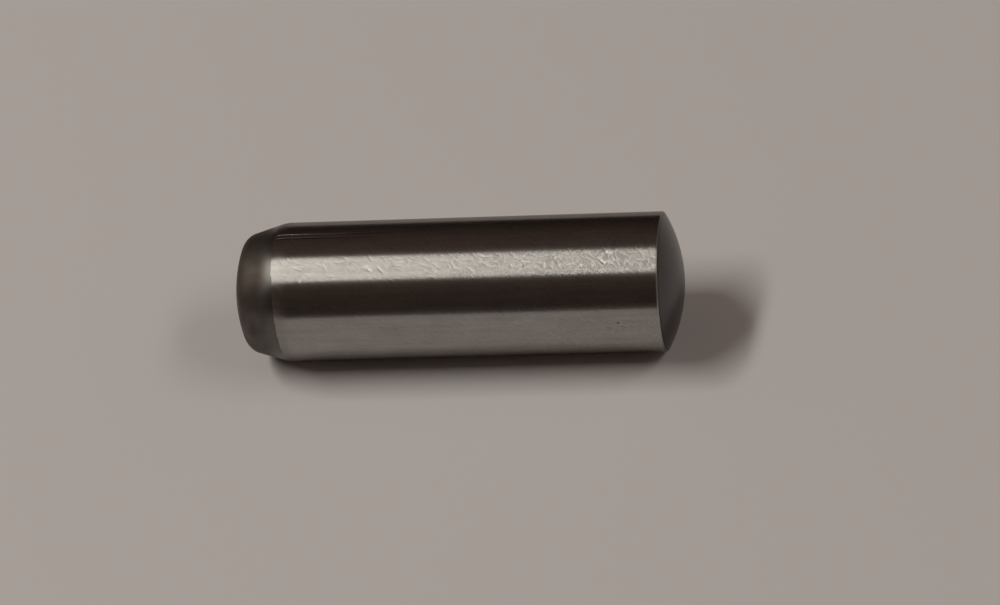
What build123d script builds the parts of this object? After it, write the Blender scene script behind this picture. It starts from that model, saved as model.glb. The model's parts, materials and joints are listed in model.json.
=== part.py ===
from build123d import *
import os
from math import asin, degrees, radians, sqrt, tan

# A hardened steel dowel pin, turned and ground in one piece. It lies along X, with the tapered lead
# end that enters the hole at -X and the crowned end that is driven at +X. The origin is on the axis,
# midway along the parallel body.

# Driving dimensions, in millimetres and degrees
BODY_DIAMETER = 6.0  # ground parallel body, the size that fits the hole
NOMINAL_LENGTH = 18.0  # lead and parallel body together, without the domed ends
LEAD_LENGTH = 1.7  # along the axis, between the sharp corners of the lead
LEAD_ANGLE = 17.0  # side of the lead to the axis
DOME_RADIUS = 6.0  # spherical dome of either end, as large as the diameter
TIP_ROUNDING = 0.75  # where the lead turns into its dome
LEAD_BLEND = 1.6  # soft rim between the lead and the parallel body
CROWN_EDGE_BREAK = 0.1  # rim of the crown, nearly sharp

body_radius = BODY_DIAMETER / 2
crown_rim_x = (NOMINAL_LENGTH - LEAD_LENGTH) / 2
lead_rim_x = -crown_rim_x
lead_end_x = lead_rim_x - LEAD_LENGTH
lead_end_radius = body_radius - LEAD_LENGTH * tan(radians(LEAD_ANGLE))


def dome_height(rim_radius):
    """Height of a domed end above the circle where its dome begins."""
    return DOME_RADIUS - sqrt(DOME_RADIUS**2 - rim_radius**2)


def dome_sweep(rim_radius):
    """Angle of the dome's arc in the half section, from the axis to that circle."""
    return degrees(asin(rim_radius / DOME_RADIUS))


with BuildPart() as dowel_pin:
    # The half section runs over the lead, the body and the crown and closes along the axis.
    with BuildSketch() as half_section:
        with BuildLine():
            lead_dome = JernArc(
                start=(lead_end_x - dome_height(lead_end_radius), 0),
                tangent=(0, 1),
                radius=DOME_RADIUS,
                arc_size=-dome_sweep(lead_end_radius),
            )
            lead = Line(lead_dome @ 1, (lead_rim_x, body_radius))
            body = Line(lead @ 1, (crown_rim_x, body_radius))
            crown = JernArc(
                start=(crown_rim_x + dome_height(body_radius), 0),
                tangent=(0, 1),
                radius=DOME_RADIUS,
                arc_size=dome_sweep(body_radius),
            )
            Line(crown @ 0, lead_dome @ 0)
        make_face()

        # Each corner of the section is the point nearest to its place along the axis.
        for corner_x, rounding in (
            (lead_end_x, TIP_ROUNDING),
            (lead_rim_x, LEAD_BLEND),
            (crown_rim_x, CROWN_EDGE_BREAK),
        ):
            points = half_section.vertices()
            corner = points.sort_by(lambda point: abs(point.X - corner_x))[0]
            fillet(corner, radius=rounding)
    revolve(axis=Axis.X)

dowel_pin.part.label = "dowel_pin"
os.makedirs("parts", exist_ok=True)
export_step(dowel_pin.part, "parts/dowel_pin.step")
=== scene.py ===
import json
from math import asin, cos, radians, sin, tan

import bpy
from mathutils import Matrix, Vector


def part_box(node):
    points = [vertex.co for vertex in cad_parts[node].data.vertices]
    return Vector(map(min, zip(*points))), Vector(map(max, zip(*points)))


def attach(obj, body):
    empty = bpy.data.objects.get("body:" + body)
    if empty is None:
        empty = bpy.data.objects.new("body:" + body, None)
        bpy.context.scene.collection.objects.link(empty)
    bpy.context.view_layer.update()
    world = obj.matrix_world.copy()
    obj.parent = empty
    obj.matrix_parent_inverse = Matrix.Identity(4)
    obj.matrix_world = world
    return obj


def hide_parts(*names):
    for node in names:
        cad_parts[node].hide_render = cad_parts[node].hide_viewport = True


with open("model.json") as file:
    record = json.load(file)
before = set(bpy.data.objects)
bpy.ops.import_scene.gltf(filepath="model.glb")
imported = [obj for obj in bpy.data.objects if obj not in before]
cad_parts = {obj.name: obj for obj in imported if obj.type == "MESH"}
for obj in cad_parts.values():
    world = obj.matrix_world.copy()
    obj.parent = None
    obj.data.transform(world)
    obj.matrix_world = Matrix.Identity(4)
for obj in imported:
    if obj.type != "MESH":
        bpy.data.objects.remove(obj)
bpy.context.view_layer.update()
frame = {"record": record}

# The pin: hardened steel bar, turned to a tapered and domed lead end at -X and a crowned end at +X,
# and left dark there from the heat. It is one turned piece, so its half section is drawn point by
# point, from tip to tip, and spun once around the axis.
LEAD_ANGLE = radians(17)
DOME_RADIUS = 0.006
TIP_ROUNDING = 0.00075
LEAD_BLEND = 0.0016
CROWN_EDGE_BREAK = 0.0001
TURN_STEPS = 256
DOME_STEPS = 20
ROUNDING_STEPS = 16
LEAD_STEPS = 24
BODY_STEPS = 48
HOLDING_RING = 0.00003
QUARTER_TURN = radians(90)
HALF_TURN = radians(180)
SEED_CORNERS = 3
SEED_RADIUS = 0.001
MERGE_DISTANCE = 0.0000005

pin_low, pin_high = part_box("dowel_pin")
body_radius = frame["record"]["mounts"][0]["dims"]["r_mm"] / 1000
lead_dome_x = pin_low.x + DOME_RADIUS
crown_dome_x = pin_high.x - DOME_RADIUS
crown_rim_x = crown_dome_x + DOME_RADIUS * cos(asin(body_radius / DOME_RADIUS))
lead_rim_x = -crown_rim_x


def straight(start, end, steps):
    """Points of the half section, as (x, radius), along a straight run after its start."""
    return [
        tuple(a + (b - a) * step / steps for a, b in zip(start, end))
        for step in range(1, steps + 1)
    ]


def arc(centre, radius, first, last, steps):
    """Points along an arc after its first. Its angles turn from facing -X, over the top, to +X."""
    angles = [first + (last - first) * step / steps for step in range(1, steps + 1)]
    return [(centre[0] - radius * cos(a), centre[1] + radius * sin(a)) for a in angles]


# The tip rounding touches the dome where the lead's line lies one rounding above its centre.
lead_reach = body_radius * cos(LEAD_ANGLE) - (lead_rim_x - lead_dome_x) * sin(LEAD_ANGLE)
tip_share = (lead_reach - TIP_ROUNDING) / (DOME_RADIUS - TIP_ROUNDING)
dome_ends = asin(tip_share) - LEAD_ANGLE
tip_offset = DOME_RADIUS - TIP_ROUNDING
tip_centre = (lead_dome_x - tip_offset * cos(dome_ends), tip_offset * sin(dome_ends))
blend_centre = (lead_rim_x + LEAD_BLEND * tan(LEAD_ANGLE / 2), body_radius - LEAD_BLEND)
edge_offset = DOME_RADIUS - CROWN_EDGE_BREAK
crown_starts = HALF_TURN - asin((body_radius - CROWN_EDGE_BREAK) / edge_offset)
edge_centre = (crown_dome_x - edge_offset * cos(crown_starts), body_radius - CROWN_EDGE_BREAK)
lead_faces = QUARTER_TURN - LEAD_ANGLE
blend_start = (
    blend_centre[0] - LEAD_BLEND * cos(lead_faces),
    blend_centre[1] + LEAD_BLEND * sin(lead_faces),
)

section = [(pin_low.x, 0)]
section += arc((lead_dome_x, 0), DOME_RADIUS, 0, dome_ends, DOME_STEPS)
section += arc(tip_centre, TIP_ROUNDING, dome_ends, lead_faces, ROUNDING_STEPS)
section += straight(section[-1], blend_start, LEAD_STEPS)
section += arc(blend_centre, LEAD_BLEND, lead_faces, QUARTER_TURN, ROUNDING_STEPS)
section += straight(section[-1], (blend_centre[0] + HOLDING_RING, body_radius), 1)
section += straight(section[-1], (edge_centre[0] - HOLDING_RING, body_radius), BODY_STEPS)
section += straight(section[-1], (edge_centre[0], body_radius), 1)
section += arc(edge_centre, CROWN_EDGE_BREAK, QUARTER_TURN, crown_starts, ROUNDING_STEPS)
section += arc((crown_dome_x, 0), DOME_RADIUS, crown_starts, HALF_TURN, DOME_STEPS)

bpy.ops.object.select_all(action="DESELECT")
bpy.ops.mesh.primitive_circle_add(vertices=SEED_CORNERS, radius=SEED_RADIUS)
pin = bpy.context.object
pin.name = "ground_pin"
bpy.ops.object.mode_set(mode="EDIT")
bpy.ops.mesh.merge(type="CENTER")
bpy.ops.transform.translate(value=(section[0][0], 0, 0))
for (x_from, r_from), (x_to, r_to) in zip(section, section[1:]):
    bpy.ops.mesh.extrude_region_move(
        TRANSFORM_OT_translate={"value": (x_to - x_from, 0, r_to - r_from)}
    )
bpy.ops.mesh.select_all(action="SELECT")
bpy.ops.mesh.spin(steps=TURN_STEPS, angle=2 * HALF_TURN, center=(0, 0, 0), axis=(1, 0, 0))
bpy.ops.mesh.select_all(action="SELECT")
bpy.ops.mesh.remove_doubles(threshold=MERGE_DISTANCE)
bpy.ops.mesh.normals_make_consistent(inside=False)
bpy.ops.object.mode_set(mode="OBJECT")
bpy.ops.object.shade_smooth()


# The ground finish of the parallel body: the wheel's marks run around the pin, too fine to see, and
# draw a lamp's image out along it. The steel is faintly cloudy and streaked along, and tumbling has
# roughened it towards the soft rim of the lead. There its tone is also darkened as painted shade, so
# that a lamp's image ends there without a flare.
GROUND_DARK_COLOUR = (0.306, 0.293, 0.282, 1)
GROUND_LIGHT_COLOUR = (0.469, 0.450, 0.434, 1)
GROUND_EDGE_TINT = (0.58, 0.56, 0.54, 1)
GROUND_ROUGHNESS = 0.275
GROUND_ANISOTROPY = 0.98
GROUND_DRAWN_ALONG = 0.25
MIDDLE_TONE = 0.5
NOISE_MIDDLE = 0.5
CLOUD_SIZE = 0.0009
CLOUD_DETAIL = 3.0
CLOUD_SHADE = 0.6
STREAK_LENGTH = 0.004
STREAK_WIDTH = 0.00022
STREAK_DETAIL = 2.0
STREAK_SHADE = 0.8
RIM_ROUGHNESS = 0.38
# Painted shade: the tone is darkened near the lead's rim to dim the lamp's image there.
RIM_SHADE = -0.10
RIM_DULL_AND_SHADED = (-0.0081, -0.0077)


def feed(tree, value, socket):
    """Links a node's output to a socket, or sets a plain value on it."""
    if isinstance(value, bpy.types.NodeSocket):
        tree.links.new(value, socket)
    else:
        socket.default_value = value


def add_node(tree, kind, settings=None, **inputs):
    """Adds a node with its settings and inputs. An underscore in an input's name is a space."""
    made = tree.nodes.new(kind)
    for name, value in (settings or {}).items():
        setattr(made, name, value)
    for name, value in inputs.items():
        feed(tree, value, made.inputs[name.replace("_", " ")])
    return made


def maths(tree, operation, *values):
    """The result of one Math node."""
    made = add_node(tree, "ShaderNodeMath", {"operation": operation})
    for value, socket in zip(values, made.inputs):
        feed(tree, value, socket)
    return made.outputs["Value"]


def vectors(tree, operation, *values):
    """The result of one Vector Math node."""
    made = add_node(tree, "ShaderNodeVectorMath", {"operation": operation})
    for value, socket in zip(values, made.inputs):
        feed(tree, value, socket)
    return made.outputs["Vector"]


def fall(tree, value, start, end):
    """A soft step from one, where the value is below start, to nothing, where it is above end."""
    made = add_node(
        tree,
        "ShaderNodeMapRange",
        {"interpolation_type": "SMOOTHSTEP"},
        Value=value,
        From_Min=start,
        From_Max=end,
        To_Min=1.0,
        To_Max=0.0,
    )
    return made.outputs["Result"]


def colour_mix(tree, share, first, second):
    """The first colour where the share is nothing, and the second where it is one."""
    made = add_node(tree, "ShaderNodeMix", {"data_type": "RGBA"})
    sockets = {socket.identifier: socket for socket in [*made.inputs, *made.outputs]}
    feed(tree, share, sockets["Factor_Float"])
    feed(tree, first, sockets["A_Color"])
    feed(tree, second, sockets["B_Color"])
    return sockets["Result_Color"]


def noise(tree, place, size, detail):
    """The outputs of cloudy noise, a half on average, with clouds of that size."""
    made = add_node(tree, "ShaderNodeTexNoise", None, Vector=place, Scale=1 / size, Detail=detail)
    return made.outputs


def new_steel(name):
    """A new bare metal: the material, its node tree, its shader and the place on the pin."""
    material = bpy.data.materials.new(name)
    material.use_nodes = True
    tree = material.node_tree
    shader = tree.nodes["Principled BSDF"]
    shader.inputs["Metallic"].default_value = 1.0
    return material, tree, shader, add_node(tree, "ShaderNodeTexCoord").outputs["Object"]


ground_steel, tree, shader, place = new_steel("ground_steel")
axes = add_node(tree, "ShaderNodeSeparateXYZ", Vector=place)
along_pin = axes.outputs["X"]
angle = maths(tree, "ARCTAN2", axes.outputs["Y"], axes.outputs["Z"])
around_pin = maths(tree, "MULTIPLY", angle, body_radius)
unrolled = add_node(tree, "ShaderNodeCombineXYZ", X=along_pin, Y=around_pin).outputs["Vector"]

cloud_noise = noise(tree, place, CLOUD_SIZE, CLOUD_DETAIL)["Fac"]
clouds = maths(tree, "SUBTRACT", cloud_noise, NOISE_MIDDLE)
lightness = maths(tree, "MULTIPLY_ADD", clouds, CLOUD_SHADE, MIDDLE_TONE)
drawn_out = vectors(tree, "MULTIPLY", unrolled, (1 / STREAK_LENGTH, 1 / STREAK_WIDTH, 0))
streak_noise = noise(tree, drawn_out, 1.0, STREAK_DETAIL)["Fac"]
streaks = maths(tree, "SUBTRACT", streak_noise, NOISE_MIDDLE)
lightness = maths(tree, "MULTIPLY_ADD", streaks, STREAK_SHADE, lightness)
dulled_and_shaded = fall(tree, along_pin, *RIM_DULL_AND_SHADED)
# Painted shade: a darker tone by the lead's rim, beside the real rougher finish.
lightness = maths(tree, "MULTIPLY_ADD", dulled_and_shaded, RIM_SHADE, lightness)
rim_rougher = RIM_ROUGHNESS - GROUND_ROUGHNESS
roughness = maths(tree, "MULTIPLY_ADD", dulled_and_shaded, rim_rougher, GROUND_ROUGHNESS)

# The marks of tumbling and use on the parallel body. Fine strokes lean one way, short crooked nicks
# crowd towards the crown, two lines are dragged along from the lead, and there is one small pit. The
# marks tilt the surface and also lighten or darken its tone along with the tilt, a painted glint, and
# the pit is only a dark spot, painted shade for its hollow.
STROKE_CELL = 0.00050
STROKE_REACH = 0.00028
STROKE_THICKNESS = 0.00009
STROKE_STRENGTH = 4.3
STROKE_LEAN = radians(32)
STROKE_SPREAD = radians(70)
STROKE_STARTS = (0.0, 0.11, 0.23)
CROOK_SIZE = 0.0005
CROOK_DETAIL = 0.0
CROOK_REACH = 0.00025
NICK_SIZE = 0.00034
NICK_DETAIL = 1.0
NICK_THICKNESS = 0.085
NICK_MIDDLE = 0.5
NICK_STRENGTH = 1.3
PATCH_SIZE = 0.0008
PATCH_DETAIL = 0.0
PATCH_EDGE = (0.42, 0.58)
PATCH_LEAST = 0.45
PATCH_GAIN = 0.8
NICKS_LEAST = 0.45
NICKS_CROWD = (-0.002, 0.0065)
MARK_SLOPE = -0.036
# How much the marks lighten or darken the tone: a painted glint on real marks.
MARK_SHADE = 0.17
DRAG_LINES = ((0.00037, 0.000024), (0.00012, 0.0000175))
DRAG_WIDTH = 0.00007
DRAG_STARTS = (-0.00840, -0.00825)
DRAG_FADES = (-0.0075, -0.0025)
PIT_PLACE = (0.0064, -0.0043, 0)
PIT_SIZES = (0.00003, 0.00008)
# The pit's colour is painted shade for its hollow.
PIT_SHADE_COLOUR = (0.15, 0.14, 0.13, 1)

crook_noise = noise(tree, unrolled, CROOK_SIZE, CROOK_DETAIL)["Color"]
crook = vectors(tree, "SUBTRACT", crook_noise, (NOISE_MIDDLE, NOISE_MIDDLE, NOISE_MIDDLE))
crook = vectors(tree, "MULTIPLY", crook, (CROOK_REACH, CROOK_REACH, 0))
crooked = vectors(tree, "ADD", unrolled, crook)


def strokes(tree, surface, start):
    """The slope of short strokes, one in each cell of a random pattern, each with its own lean."""
    spot = vectors(tree, "ADD", surface, (start, start, 0))
    cells = add_node(
        tree,
        "ShaderNodeTexVoronoi",
        {"voronoi_dimensions": "2D", "feature": "F1"},
        Vector=spot,
        Scale=1 / STROKE_CELL,
    )
    chance = add_node(tree, "ShaderNodeSeparateColor", Color=cells.outputs["Color"])
    from_centre = vectors(tree, "SUBTRACT", spot, cells.outputs["Position"])
    least_lean = STROKE_LEAN - STROKE_SPREAD / 2
    lean = maths(tree, "MULTIPLY_ADD", chance.outputs["Red"], STROKE_SPREAD, least_lean)
    turned = add_node(
        tree,
        "ShaderNodeVectorRotate",
        {"rotation_type": "Z_AXIS"},
        Vector=from_centre,
        Angle=lean,
    )
    local = add_node(tree, "ShaderNodeSeparateXYZ", Vector=turned.outputs["Vector"])
    along = fall(tree, maths(tree, "ABSOLUTE", local.outputs["X"]), STROKE_REACH / 2, STROKE_REACH)
    across = fall(tree, maths(tree, "ABSOLUTE", local.outputs["Y"]), 0.0, STROKE_THICKNESS)
    side = maths(tree, "DIVIDE", local.outputs["Y"], STROKE_THICKNESS)
    stroke = maths(tree, "MULTIPLY", along, maths(tree, "MULTIPLY", across, side))
    return maths(tree, "MULTIPLY", stroke, chance.outputs["Green"])


marks = 0.0
for start in STROKE_STARTS:
    marks = maths(tree, "MULTIPLY_ADD", strokes(tree, crooked, start), STROKE_STRENGTH, marks)
nick_noise = noise(tree, unrolled, NICK_SIZE, NICK_DETAIL)["Fac"]
off_nick = maths(tree, "ABSOLUTE", maths(tree, "SUBTRACT", nick_noise, NOISE_MIDDLE))
nicks = fall(tree, off_nick, 0.0, NICK_THICKNESS)
sparse = fall(tree, along_pin, *NICKS_CROWD)
crowding = maths(tree, "MULTIPLY_ADD", sparse, NICKS_LEAST - 1.0, 1.0)
patch_noise = noise(tree, unrolled, PATCH_SIZE, PATCH_DETAIL)["Fac"]
patches = fall(tree, patch_noise, *PATCH_EDGE)
patchy = maths(tree, "MULTIPLY_ADD", patches, PATCH_GAIN, PATCH_LEAST)
crowding = maths(tree, "MULTIPLY", crowding, patchy)
crowded = maths(tree, "MULTIPLY", maths(tree, "SUBTRACT", nicks, NICK_MIDDLE), crowding)
marks = maths(tree, "MULTIPLY_ADD", crowded, NICK_STRENGTH, marks)
slope = maths(tree, "MULTIPLY", marks, MARK_SLOPE)
# Painted glint: the tone lightens where a mark's tilt catches the lamp and darkens where it turns
# away.
lightness = maths(tree, "MULTIPLY_ADD", marks, MARK_SHADE, lightness)
tone = colour_mix(tree, lightness, GROUND_DARK_COLOUR, GROUND_LIGHT_COLOUR)

relief = 0.0
on_body = maths(tree, "SUBTRACT", 1.0, fall(tree, along_pin, *DRAG_STARTS))
near_lead = maths(tree, "MULTIPLY", fall(tree, along_pin, *DRAG_FADES), on_body)
for line_place, line_depth in DRAG_LINES:
    off_line = maths(tree, "ABSOLUTE", maths(tree, "SUBTRACT", around_pin, line_place))
    line = maths(tree, "MULTIPLY", fall(tree, off_line, 0.0, DRAG_WIDTH), near_lead)
    relief = maths(tree, "MULTIPLY_ADD", line, -line_depth, relief)

# The pit has no relief: its hollow is painted as a dark spot, painted shade.
off_pit = add_node(tree, "ShaderNodeVectorMath", {"operation": "DISTANCE"})
feed(tree, unrolled, off_pit.inputs[0])
feed(tree, PIT_PLACE, off_pit.inputs[1])
pit_shade = fall(tree, off_pit.outputs["Value"], *PIT_SIZES)
tone = colour_mix(tree, pit_shade, tone, PIT_SHADE_COLOUR)

bump = add_node(tree, "ShaderNodeBump", None, Strength=1.0, Distance=1.0, Height=relief)
tilt = add_node(
    tree,
    "ShaderNodeVectorTransform",
    {"vector_type": "VECTOR", "convert_from": "OBJECT", "convert_to": "WORLD"},
    Vector=add_node(tree, "ShaderNodeCombineXYZ", X=slope).outputs["Vector"],
)
tilted = vectors(tree, "ADD", bump.outputs["Normal"], tilt.outputs["Vector"])
tilted = vectors(tree, "NORMALIZE", tilted)
around_axis = add_node(tree, "ShaderNodeTangent", {"direction_type": "RADIAL", "axis": "X"})
feed(tree, tone, shader.inputs["Base Color"])
feed(tree, roughness, shader.inputs["Roughness"])
feed(tree, tilted, shader.inputs["Normal"])
feed(tree, around_axis.outputs["Tangent"], shader.inputs["Tangent"])
shader.inputs["Specular Tint"].default_value = GROUND_EDGE_TINT
shader.inputs["Anisotropic"].default_value = GROUND_ANISOTROPY
shader.inputs["Anisotropic Rotation"].default_value = GROUND_DRAWN_ALONG

# The lead keeps the dull dark skin of the hardening heat, blotched, and is paler below than on top,
# a painted reflection of the lit floor. Tumbling has thinned and smoothed it towards the rim.
SKIN_COLOUR = (0.152, 0.127, 0.111, 1)
# The paler colour of the lower side is a painted reflection of the lit floor, not the skin's own.
FLOOR_REFLECTION_SKIN_COLOUR = (0.248, 0.224, 0.219, 1)
SKIN_BLOTCH_COLOUR = (0.075, 0.063, 0.056, 1)
FLOOR_REFLECTION_HEIGHTS = (0.0008, 0.0015)
WORN_SKIN_COLOUR = (0.148, 0.139, 0.134, 1)
SKIN_ROUGHNESS = 0.67
SKIN_ANISOTROPY = 0.45
WORN_SKIN_ROUGHNESS = 0.32
SKIN_WEARS = (-0.00910, -0.00835)
SKIN_ENDS = -0.008305
SKIN_SLANT = 0.04
BLOTCH_SIZE = 0.0007

lead_skin, tree, shader, place = new_steel("heat_darkened_steel")
axes = add_node(tree, "ShaderNodeSeparateXYZ", Vector=place)
along_pin = axes.outputs["X"]
blotches = noise(tree, place, BLOTCH_SIZE, CLOUD_DETAIL)["Fac"]
# Painted reflection: the lead's lower side is painted paler, as if it mirrored the lit floor.
lit_share = fall(tree, axes.outputs["Z"], *FLOOR_REFLECTION_HEIGHTS)
skin_tone = colour_mix(tree, lit_share, SKIN_COLOUR, FLOOR_REFLECTION_SKIN_COLOUR)
skin_tone = colour_mix(tree, blotches, skin_tone, SKIN_BLOTCH_COLOUR)
whole = fall(tree, along_pin, *SKIN_WEARS)
feed(tree, colour_mix(tree, whole, WORN_SKIN_COLOUR, skin_tone), shader.inputs["Base Color"])
skin_rougher = SKIN_ROUGHNESS - WORN_SKIN_ROUGHNESS
roughness = maths(tree, "MULTIPLY_ADD", whole, skin_rougher, WORN_SKIN_ROUGHNESS)
feed(tree, roughness, shader.inputs["Roughness"])
around_axis = add_node(tree, "ShaderNodeTangent", {"direction_type": "RADIAL", "axis": "X"})
feed(tree, around_axis.outputs["Tangent"], shader.inputs["Tangent"])
shader.inputs["Anisotropic"].default_value = SKIN_ANISOTROPY
shader.inputs["Anisotropic Rotation"].default_value = GROUND_DRAWN_ALONG

# The crown is turned and left unground too: a plain satin grey, faintly cloudy, that ends in a fine
# dark line along the nearly sharp rim, painted shade for the dark room that the edge reflects.
CROWN_COLOUR = (0.110, 0.103, 0.100, 1)
CROWN_CLOUD_COLOUR = (0.098, 0.092, 0.090, 1)
# Painted shade: the dark line stands for the dark reflection of the rim's edge.
CROWN_RIM_SHADE_COLOUR = (0.06, 0.055, 0.05, 1)
CROWN_RIM_WIDTH = 0.00008
CROWN_ROUGHNESS = 0.31

crown_steel, tree, shader, place = new_steel("turned_steel")
rim_ends = crown_dome_x - DOME_RADIUS * cos(crown_starts)
along_pin = add_node(tree, "ShaderNodeSeparateXYZ", Vector=place).outputs["X"]
clouds = noise(tree, place, BLOTCH_SIZE, CLOUD_DETAIL)["Fac"]
tone = colour_mix(tree, clouds, CROWN_COLOUR, CROWN_CLOUD_COLOUR)
# Painted shade: a thin dark line at the rim, for the dark reflection of its edge.
rim_shade = fall(tree, along_pin, rim_ends, rim_ends + CROWN_RIM_WIDTH)
feed(tree, colour_mix(tree, rim_shade, tone, CROWN_RIM_SHADE_COLOUR), shader.inputs["Base Color"])
shader.inputs["Roughness"].default_value = CROWN_ROUGHNESS

pin.data.materials.append(ground_steel)
pin.data.materials.append(lead_skin)
pin.data.materials.append(crown_steel)
for face in pin.data.polygons:
    if face.center.x < SKIN_ENDS - SKIN_SLANT * face.center.z:
        face.material_index = 1
    elif face.center.x > rim_ends:
        face.material_index = 2

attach(pin, "root")
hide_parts("dowel_pin")

# The floor: a pale warm matt sheet that the pin lies on. Away from the pin it falls off into the dark
# of the room, so that the body has dark bands to reflect.
FLOOR_SIZE = 4.0
FLOOR_COLOUR = (0.652, 0.620, 0.621, 1)
FLOOR_FAR_COLOUR = (0.050, 0.042, 0.039, 1)
FLOOR_PALE_TO = 0.085
FLOOR_DARK_FROM = 0.14
FLOOR_ROUGHNESS = 0.9
FLOOR_GLOSS = 0.1

bpy.ops.object.select_all(action="DESELECT")
bpy.ops.mesh.primitive_plane_add(size=FLOOR_SIZE, location=(0, 0, pin_low.z))
floor = bpy.context.object
floor.name = "floor"
pale_sheet = bpy.data.materials.new("pale_sheet")
pale_sheet.use_nodes = True
tree = pale_sheet.node_tree
shader = tree.nodes["Principled BSDF"]
place = add_node(tree, "ShaderNodeTexCoord").outputs["Object"]
from_pin = add_node(tree, "ShaderNodeVectorMath", {"operation": "LENGTH"}, Vector=place)
lit_share = fall(tree, from_pin.outputs["Value"], FLOOR_PALE_TO, FLOOR_DARK_FROM)
tone = colour_mix(tree, lit_share, FLOOR_FAR_COLOUR, FLOOR_COLOUR)
feed(tree, tone, shader.inputs["Base Color"])
shader.inputs["Roughness"].default_value = FLOOR_ROUGHNESS
shader.inputs["Specular IOR Level"].default_value = FLOOR_GLOSS
floor.data.materials.append(pale_sheet)

# The light: a long strip lamp above the pin on the lead's side, laid across it, and a weaker and
# wider one on the crown's side, in a dim brown room that is lighter overhead and towards both ends.
LAMP_HEIGHT = 0.5
LAMP_NEAR = radians(60.3)
LAMP_FAR = radians(103.5)
LAMP_COLOUR = (1.0, 0.98, 0.91)
MAIN_LEAN = radians(-32)
MAIN_WIDTH = 0.061
MAIN_POWER = 1.95
MAIN_TURN = radians(-5.8)
SIDE_LEAN = radians(38)
SIDE_WIDTH = 0.125
SIDE_POWER = 0.67
SIDE_TURN = 0.0
ROOM_COLOUR = (1.0, 0.69, 0.56, 1)
ROOM_OVERHEAD = 0.052
ROOM_RISE = 1.5
ROOM_LEAD_SIDE = 0.10
ROOM_LEAD_CORNER = 0.20
ROOM_CROWN_SIDE = 0.27

lamp_near_y = -LAMP_HEIGHT / tan(LAMP_NEAR)
lamp_far_y = -LAMP_HEIGHT / tan(LAMP_FAR)


def strip_lamp(name, lean, width, power, turn):
    """A level strip lamp across the pin, leaning from straight above it towards one end."""
    strip = bpy.data.lights.new(name, "AREA")
    strip.shape = "RECTANGLE"
    strip.size = width
    strip.size_y = lamp_far_y - lamp_near_y
    strip.energy = power
    strip.color = LAMP_COLOUR
    lamp = bpy.data.objects.new(name, strip)
    lamp.location = (LAMP_HEIGHT * tan(lean), (lamp_near_y + lamp_far_y) / 2, LAMP_HEIGHT)
    lamp.rotation_euler.z = turn
    bpy.context.scene.collection.objects.link(lamp)


strip_lamp("main_lamp", MAIN_LEAN, MAIN_WIDTH, MAIN_POWER, MAIN_TURN)
strip_lamp("side_lamp", SIDE_LEAN, SIDE_WIDTH, SIDE_POWER, SIDE_TURN)

room = bpy.data.worlds.new("dim_room")
room.use_nodes = True
tree = room.node_tree
towards = add_node(
    tree, "ShaderNodeSeparateXYZ", Vector=add_node(tree, "ShaderNodeTexCoord").outputs["Generated"]
)
overhead = maths(tree, "POWER", maths(tree, "MAXIMUM", towards.outputs["Z"], 0.0), ROOM_RISE)
strength = maths(tree, "MULTIPLY", overhead, ROOM_OVERHEAD)
back_wall = maths(tree, "MULTIPLY", towards.outputs["Y"], towards.outputs["Z"])
back_wall = maths(tree, "MAXIMUM", back_wall, 0.0)
corner = maths(tree, "MULTIPLY_ADD", back_wall, ROOM_LEAD_CORNER, ROOM_LEAD_SIDE)
lead_side = maths(tree, "MAXIMUM", maths(tree, "MULTIPLY", towards.outputs["X"], -1.0), 0.0)
strength = maths(tree, "MULTIPLY_ADD", lead_side, corner, strength)
crown_side = maths(tree, "MAXIMUM", towards.outputs["X"], 0.0)
crown_side = maths(tree, "MULTIPLY", crown_side, crown_side)
strength = maths(tree, "MULTIPLY_ADD", crown_side, ROOM_CROWN_SIDE, strength)
background = tree.nodes["Background"]
background.inputs["Color"].default_value = ROOM_COLOUR
feed(tree, strength, background.inputs["Strength"])
bpy.context.scene.world = room
bpy.context.scene.view_settings.view_transform = "Standard"

# The camera: a long lens held about a hand's length away, looking down on the pin from the front and
# a little from the crowned end, and turned so that the crowned end rises in the picture.
CAMERA_AZIMUTH = radians(12.1)
CAMERA_ELEVATION = radians(41.8)
CAMERA_ROLL = radians(9.77)
CAMERA_DISTANCE = 0.2357
LENS_MM = 198
SENSOR_MM = 36
AIM_RIGHT = 0.001
AIM_DOWN = 0.000667
CLIP_START = 0.01

back = Vector(
    (
        sin(CAMERA_AZIMUTH) * cos(CAMERA_ELEVATION),
        -cos(CAMERA_AZIMUTH) * cos(CAMERA_ELEVATION),
        sin(CAMERA_ELEVATION),
    )
)
level = Vector((cos(CAMERA_AZIMUTH), sin(CAMERA_AZIMUTH), 0))
turn = Matrix.Rotation(-CAMERA_ROLL, 3, back)
right = turn @ level
up = turn @ back.cross(level)
lens = bpy.data.cameras.new("camera")
lens.lens = LENS_MM
lens.sensor_width = SENSOR_MM
lens.clip_start = CLIP_START
camera = bpy.data.objects.new("camera", lens)
view = Matrix((right, up, back)).transposed()
camera.rotation_euler = view.to_euler()
camera.location = right * AIM_RIGHT - up * AIM_DOWN + back * CAMERA_DISTANCE
bpy.context.scene.collection.objects.link(camera)
bpy.context.scene.camera = camera
